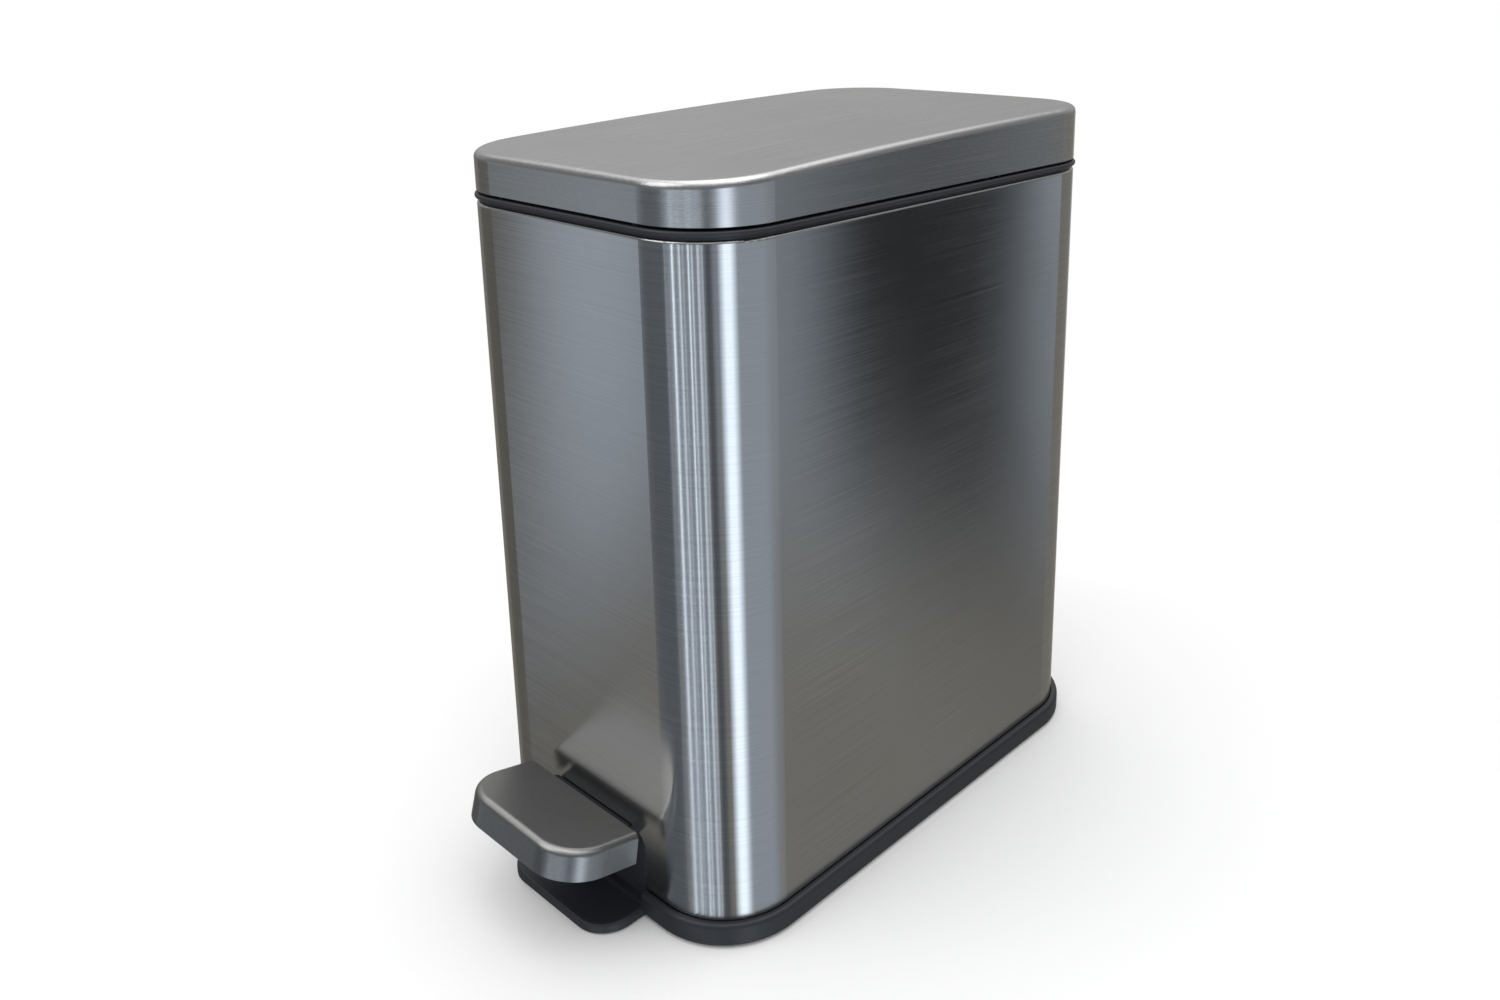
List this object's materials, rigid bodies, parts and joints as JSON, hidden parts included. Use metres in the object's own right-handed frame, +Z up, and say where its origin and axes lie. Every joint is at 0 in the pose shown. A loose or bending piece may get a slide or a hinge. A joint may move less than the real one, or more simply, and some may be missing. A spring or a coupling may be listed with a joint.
{
  "type": "pedal trash can",
  "caption": "Slim rectangular step can: brushed steel body and lid on a black base; a front pedal lifts the hinged lid through a lever and rod over a removable bucket.",
  "frame": {"origin": "on the floor, under the middle of the whole object's box", "axes": "+Z up, the pedal looks towards -Y, +X to the right of someone facing along +Y"},
  "size_m": [0.1804, 0.331, 0.3424],
  "materials": {
    "brushed_body": "satin, fine horizontal brushing",
    "brushed_lid": "satin, fine brushing",
    "pedal_steel": "satin, bead blasted",
    "black_moulding": "fine matte texture",
    "grey_moulding": "fine matte texture",
    "bucket_plastic": "smooth moulded",
    "zinc_steel": "zinc plated",
    "dark_rubber": "matte",
    "bright_wire": "plated wire"
  },
  "bodies": {
    "can": {"base_tray": "black_moulding", "rubber_feet": "dark_rubber", "pedal_stop": "dark_rubber", "body_shell": "brushed_body", "slot_shroud": "black_moulding", "rim_ring": "black_moulding", "lid_bumpers": "dark_rubber", "hinge_leaf_body": "zinc_steel", "hinge_pin": "zinc_steel", "hinge_rivets_body": "zinc_steel", "rod_guide_upper": "grey_moulding", "rod_guide_lower": "grey_moulding", "guide_rivets": "zinc_steel", "axle_blocks": "grey_moulding", "axle_block_screws": "zinc_steel", "base_rivets": "zinc_steel"},
    "lid": {"lid_shell": "brushed_lid", "lid_liner": "black_moulding", "hinge_leaf_lid": "zinc_steel", "hinge_rivets_lid": "zinc_steel", "lid_lever": "zinc_steel", "lid_lever_pin": "zinc_steel", "lid_lever_screws": "zinc_steel"},
    "rod": {"lift_rod": "zinc_steel"},
    "pedal": {"pedal_cap": "pedal_steel", "pedal_core": "black_moulding", "pedal_lever": "zinc_steel", "pedal_axle": "zinc_steel", "axle_clips": "zinc_steel", "lever_pin": "zinc_steel", "pedal_rivets": "zinc_steel"},
    "bucket": {"inner_bucket": "bucket_plastic"},
    "bail": {"bucket_handle": "bright_wire", "handle_grip": "black_moulding"}
  },
  "joints": [
    {"name": "lid_hinge", "type": "hinge", "parent": "can", "child": "lid", "pos_m": [0, 0.1623, 0.3128], "axis": [-1, 0, 0], "range_deg": [0, 80]},
    {"name": "pedal_hinge", "type": "hinge", "parent": "can", "child": "pedal", "pos_m": [0, -0.003, 0.0235], "axis": [1, 0, 0], "range_deg": [0, 8.86]},
    {"name": "rod_slide", "type": "slide", "parent": "can", "child": "rod", "axis": [0, 0, 1], "range_m": [0, 0.02315]},
    {"name": "bucket_lift", "type": "slide", "parent": "can", "child": "bucket", "axis": [0, 0, 1], "range_m": [0, 0.01]},
    {"name": "bail_hinge", "type": "hinge", "parent": "bucket", "child": "bail", "pos_m": [0, 0.009, 0.2935], "axis": [-1, 0, 0], "range_deg": [0, 12]}
  ],
  "couplings": [
    {"joint": "pedal_hinge", "follows": "lid_hinge", "ratio": 0.11071},
    {"joint": "rod_slide", "follows": "lid_hinge", "m_per_rad": 0.016573}
  ]
}
